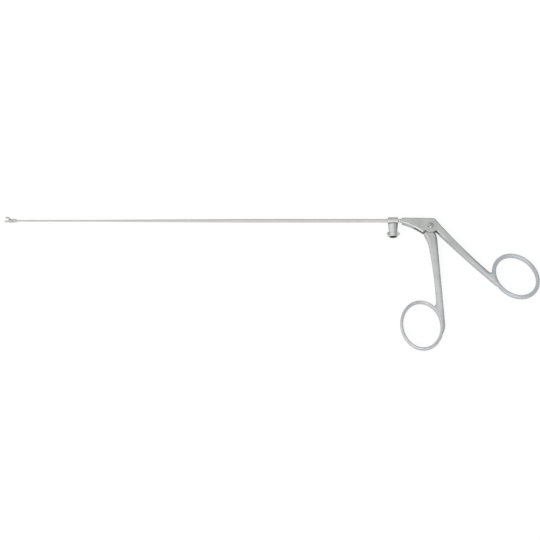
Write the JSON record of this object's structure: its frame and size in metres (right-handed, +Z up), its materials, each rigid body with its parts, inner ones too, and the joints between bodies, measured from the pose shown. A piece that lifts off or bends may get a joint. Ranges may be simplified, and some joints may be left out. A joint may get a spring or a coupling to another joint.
{
  "type": "laryngeal forceps",
  "caption": "Slender hand-held forceps with a long tapered shaft, a tiny hinged jaw at the tip, a rinsing port with a luer lock, and two arms with finger rings.",
  "frame": {"origin": "Under the middle of the box round the whole instrument, as it lies on its side with the housing's flat cheek on the table.", "axes": "The tip of the shaft points to -X, the ends of the arms with their rings point to -Y, and +Z is up, along the pivot screw."},
  "size_m": [0.3092, 0.08, 0.0064],
  "materials": {
    "satin_steel": "satin",
    "screw_steel": "turned",
    "shaft_steel": "satin",
    "polished_steel": "polished",
    "jaw_steel": "satin",
    "seal_rubber": "matt"
  },
  "bodies": {
    "frame": {"rear_handle": "satin_steel", "pivot_screw": "screw_steel", "shaft_tube": "shaft_steel", "port_barrel": "polished_steel", "luer_socket": "polished_steel", "neck_sleeve": "polished_steel", "neck_collar": "polished_steel", "spigot_pin": "screw_steel", "seal_bush": "polished_steel", "rod_seal": "seal_rubber", "fixed_jaw": "jaw_steel", "jaw_pivot_pin": "screw_steel"},
    "front_lever": {"front_handle": "satin_steel"},
    "rod": {"drive_rod": "shaft_steel", "rod_end": "polished_steel", "rod_end_pin": "screw_steel", "rod_tip": "polished_steel", "jaw_drive_pin": "screw_steel"},
    "upper_jaw": {"moving_jaw": "jaw_steel"}
  },
  "joints": [
    {"name": "front_handle_pivot", "type": "hinge", "parent": "frame", "child": "front_lever", "pos_m": [0.09188, 0.03403, 0.003], "axis": [0, 0, 1], "range_deg": [0, 8.05]},
    {"name": "rod_slide", "type": "slide", "parent": "frame", "child": "rod", "axis": [-1, 0, 0], "range_m": [0, 0.000324]},
    {"name": "upper_jaw_hinge", "type": "hinge", "parent": "frame", "child": "upper_jaw", "pos_m": [-0.15012, 0.03718, 0.003], "axis": [0, 0, 1], "range_deg": [0, 20.4]}
  ],
  "couplings": [
    {"joint": "rod_slide", "follows": "front_handle_pivot", "m_per_rad": 0.0023038},
    {"joint": "upper_jaw_hinge", "follows": "front_handle_pivot", "ratio": 2.5327}
  ]
}
